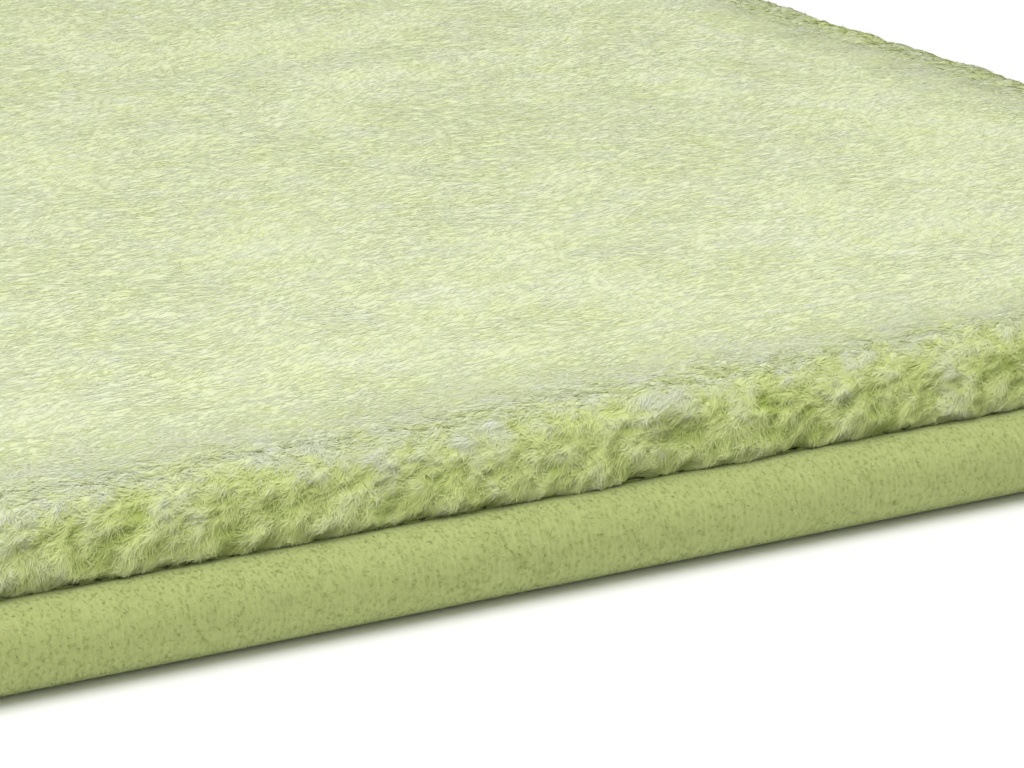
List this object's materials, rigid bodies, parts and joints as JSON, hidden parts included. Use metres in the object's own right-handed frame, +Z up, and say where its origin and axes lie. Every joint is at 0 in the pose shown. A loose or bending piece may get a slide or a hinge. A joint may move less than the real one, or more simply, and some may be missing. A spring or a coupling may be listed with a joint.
{
  "type": "bath mat",
  "caption": "Soft plush bath mat with a foam core, a dense pile face, a non-slip base cloth and a rounded edge bound with knit tape.",
  "frame": {"origin": "centre of the mat's footprint, on the plane that its underside rests on", "axes": "+X along the long side, +Y along the short side, +Z up out of the pile"},
  "size_m": [0.6, 0.4, 0.0235],
  "materials": {
    "pile": "soft brushed plush microfibre pile, matt with a pale sheen at the tips",
    "face_cloth": "matt knitted ground cloth",
    "foam": "soft open-cell cushion foam, stood in for by fabric",
    "base_cloth": "matt needled base cloth",
    "grip_dots": "soft satin grip dots",
    "binding_tape": "matt brushed knit tape with fine ribs across it",
    "thread": "twisted polyester sewing thread",
    "label": "smooth woven satin label, blank"
  },
  "bodies": {
    "root": {"plush_pile": "pile", "face_cloth": "face_cloth", "foam_core": "foam", "base_cloth": "base_cloth", "grip_dots": "grip_dots", "edge_binding": "binding_tape", "seam_thread_top": "thread", "seam_thread_under": "thread", "care_label": "label"}
  },
  "joints": []
}
